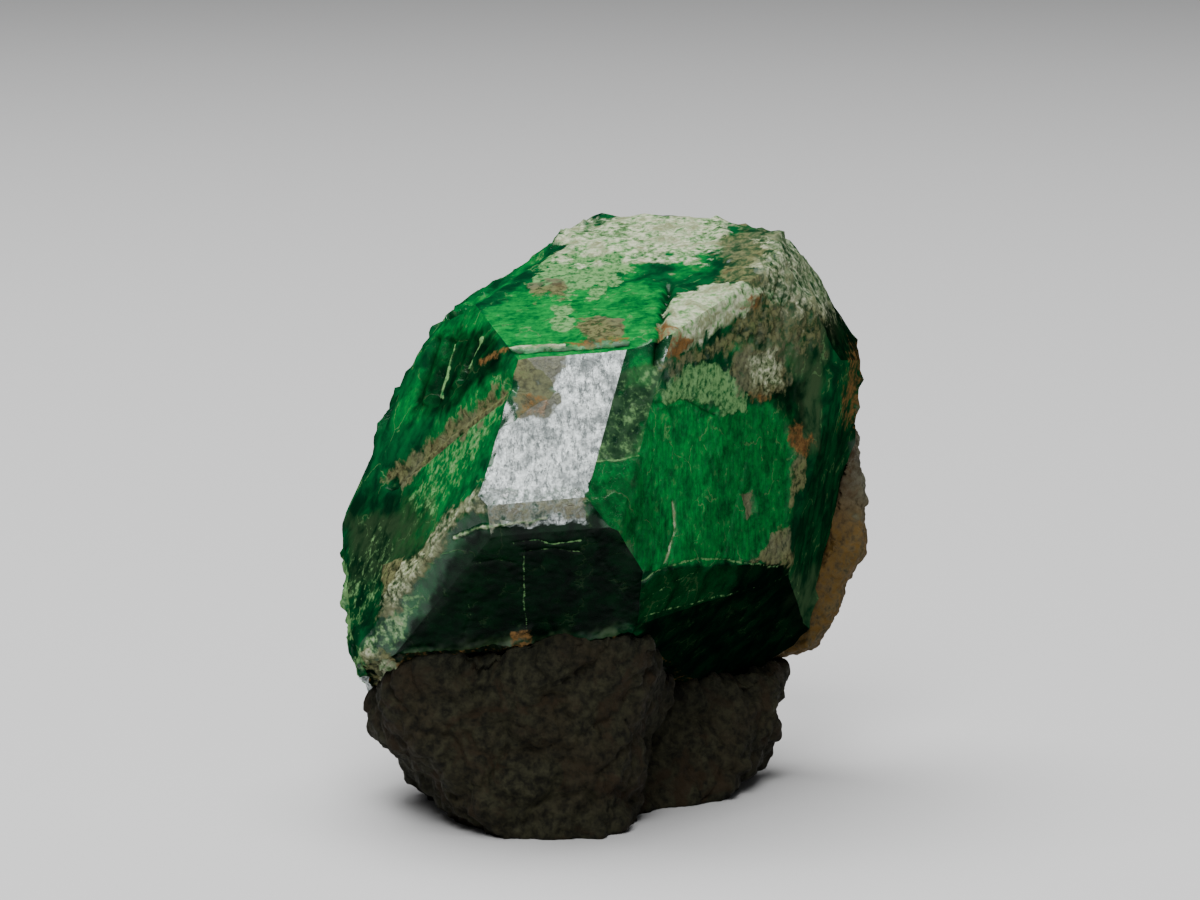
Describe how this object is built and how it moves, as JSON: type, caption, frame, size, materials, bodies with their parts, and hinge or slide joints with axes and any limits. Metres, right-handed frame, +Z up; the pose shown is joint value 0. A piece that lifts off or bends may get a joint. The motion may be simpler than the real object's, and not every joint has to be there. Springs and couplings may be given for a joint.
{
  "type": "uvarovite garnet crystal specimen",
  "caption": "Deep green garnet crystal with flat, unevenly grown faces, on a remnant of brown matrix cut flat to stand on, with a rust-stained pale seam down its right flank.",
  "frame": {"origin": "middle of the bounding box, on the surface that the specimen rests on", "axes": "+Z up, -Y towards the viewer of the displayed side, +X to that viewer's right"},
  "size_m": [0.014, 0.0142, 0.015],
  "materials": {
    "garnet": "glassy where fresh, frosted and crusted in patches",
    "matrix": "rough, broken",
    "seam": "dull, crumbly, rust-stained"
  },
  "bodies": {
    "root": {"garnet_crystal": "garnet", "matrix_base": "matrix", "stained_seam": "seam"}
  },
  "joints": []
}
